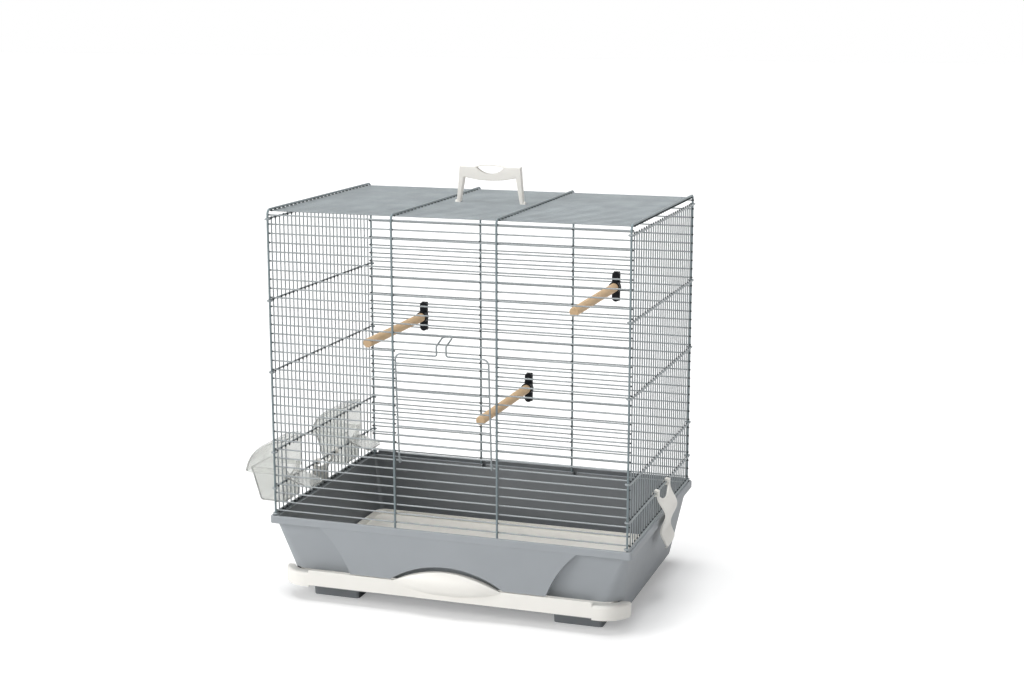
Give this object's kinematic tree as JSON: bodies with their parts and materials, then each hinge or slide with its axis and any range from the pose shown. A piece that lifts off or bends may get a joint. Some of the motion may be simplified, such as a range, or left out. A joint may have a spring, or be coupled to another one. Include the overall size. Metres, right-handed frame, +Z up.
{
  "type": "bird cage",
  "caption": "Rectangular wire bird cage on a tapered plastic base with a pull-out litter drawer, front door, carry handle, side clips, perches and outside feeders.",
  "frame": {"origin": "on the ground under the middle of the whole outline, feeders and clips included", "axes": "+Z up, +X to the right seen from the front, front with the door and drawer towards -Y"},
  "size_m": [0.5788, 0.3653, 0.5947],
  "materials": {
    "tub_grey": "fine satin, blue-grey",
    "cream": "smooth satin, cream white",
    "wire": "blue-grey coat on steel wire",
    "dowel": "plain turned wood",
    "black": "satin black",
    "clear": "clear moulded plastic"
  },
  "bodies": {
    "base": {"base_tub": "tub_grey"},
    "tray": {"drawer": "cream"},
    "cage": {"frame_wire_left": "wire", "frame_wire_mid_left": "wire", "frame_wire_mid_right": "wire", "frame_wire_right": "wire", "front_wires": "wire", "top_wires": "wire", "back_wires": "wire", "left_panel_uprights": "wire", "left_panel_rails": "wire", "right_panel_uprights": "wire", "right_panel_rails": "wire", "left_perch": "dowel", "right_perch": "dowel", "low_perch": "dowel", "left_perch_holder": "black", "right_perch_holder": "black", "low_perch_holder": "black"},
    "door": {"door_frame": "wire", "door_wires": "wire"},
    "handle": {"carry_handle": "cream"},
    "clip_left": {"left_clip": "cream"},
    "clip_right": {"right_clip": "cream"},
    "feeder_front": {"front_feeder_cup": "clear", "front_feeder_hood": "clear"},
    "feeder_rear": {"rear_feeder_cup": "clear", "rear_feeder_hood": "clear"}
  },
  "joints": [
    {"name": "drawer_slide", "type": "slide", "parent": "base", "child": "tray", "axis": [0, -1, 0], "range_m": [0, 0.25]},
    {"name": "cage_lift", "type": "slide", "parent": "base", "child": "cage", "axis": [0, 0, 1], "range_m": [0, 0.12]},
    {"name": "door_hinge", "type": "hinge", "parent": "cage", "child": "door", "pos_m": [0.02096, -0.16783, 0.2136], "axis": [1, 0, 0], "range_deg": [0, 130]},
    {"name": "handle_fold", "type": "hinge", "parent": "cage", "child": "handle", "pos_m": [0.02096, 0.01608, 0.54068], "axis": [1, 0, 0], "range_deg": [-60, 60]},
    {"name": "left_clip_swing", "type": "hinge", "parent": "cage", "child": "clip_left", "pos_m": [-0.23186, 0.00365, 0.15842], "axis": [0, 1, 0], "range_deg": [0, 90]},
    {"name": "right_clip_swing", "type": "hinge", "parent": "cage", "child": "clip_right", "pos_m": [0.27378, 0.00365, 0.15842], "axis": [0, -1, 0], "range_deg": [0, 90]},
    {"name": "front_feeder_pull", "type": "slide", "parent": "cage", "child": "feeder_front", "axis": [-0.7071, 0, 0.7071], "range_m": [0, 0.08]},
    {"name": "rear_feeder_pull", "type": "slide", "parent": "cage", "child": "feeder_rear", "axis": [-0.7071, 0, 0.7071], "range_m": [0, 0.08]}
  ]
}
